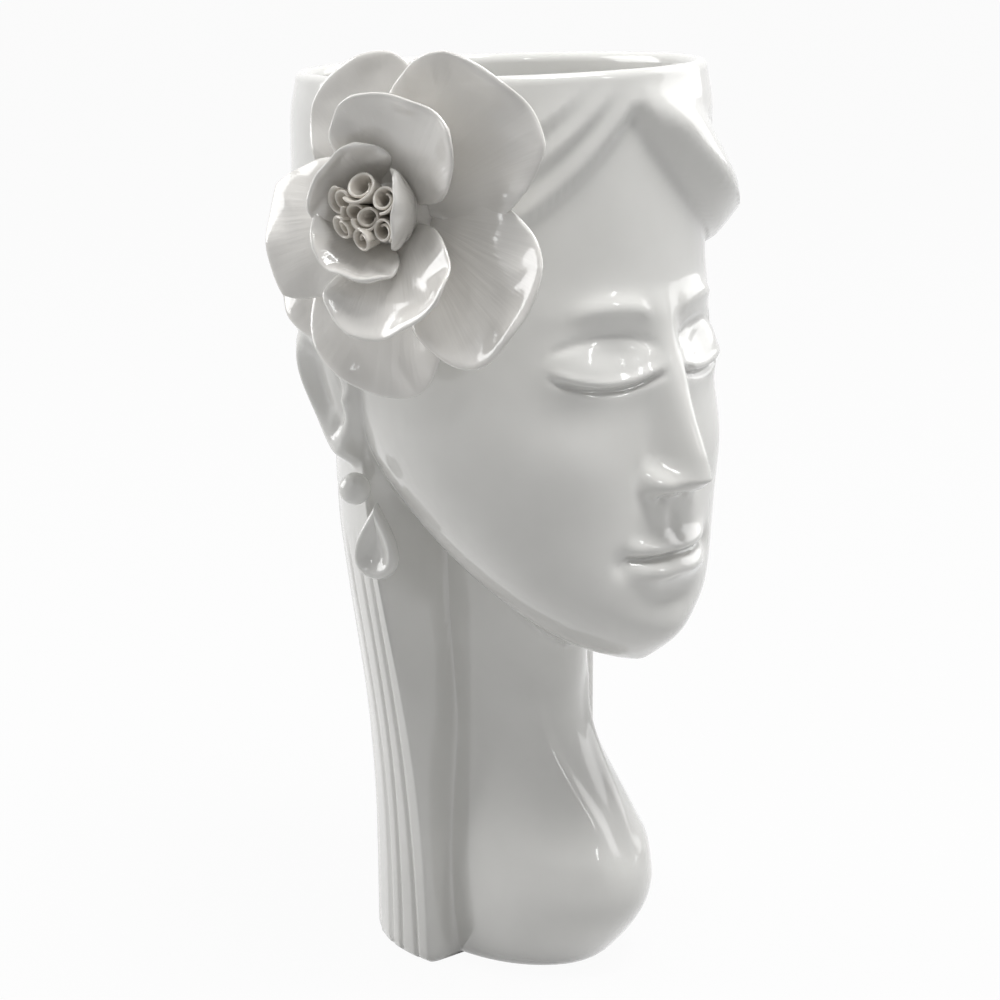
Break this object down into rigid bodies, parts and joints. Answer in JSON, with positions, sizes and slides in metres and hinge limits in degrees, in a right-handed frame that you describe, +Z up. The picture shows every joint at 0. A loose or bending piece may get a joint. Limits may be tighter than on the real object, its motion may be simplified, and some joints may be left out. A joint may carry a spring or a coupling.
{
  "type": "head planter",
  "caption": "Hollow glazed ceramic head planter, open at the top, with an applied flower at one temple and drop earrings, standing on its neck.",
  "frame": {"origin": "middle of the resting face under the neck, where the vessel's axis meets the table", "axes": "+Z up towards the open rim, the face looks along -Y, the flower is on the -X side"},
  "size_m": [0.1779, 0.1731, 0.3327],
  "materials": {
    "body_glaze": "clear gloss glaze over white clay",
    "flower_glaze": "clear gloss glaze, slightly warmer over thin clay",
    "heart_glaze": "thin glaze pooled between the rolls"
  },
  "bodies": {
    "root": {"head_vessel": "body_glaze", "flower_receptacle": "flower_glaze", "inner_petal_1": "flower_glaze", "inner_petal_2": "flower_glaze", "inner_petal_3": "flower_glaze", "middle_petal_1": "flower_glaze", "middle_petal_2": "flower_glaze", "outer_petal_1": "flower_glaze", "outer_petal_2": "flower_glaze", "outer_petal_3": "flower_glaze", "outer_petal_4": "flower_glaze", "outer_petal_5": "flower_glaze", "outer_petal_6": "flower_glaze", "stamen_roll_1": "heart_glaze", "stamen_roll_2": "heart_glaze", "stamen_roll_3": "heart_glaze", "stamen_roll_4": "heart_glaze", "stamen_roll_5": "heart_glaze", "stamen_roll_6": "heart_glaze", "stamen_roll_7": "heart_glaze", "stamen_roll_8": "heart_glaze", "earring_bead_right": "body_glaze", "earring_drop_right": "body_glaze", "earring_bead_left": "body_glaze", "earring_drop_left": "body_glaze"}
  },
  "joints": []
}
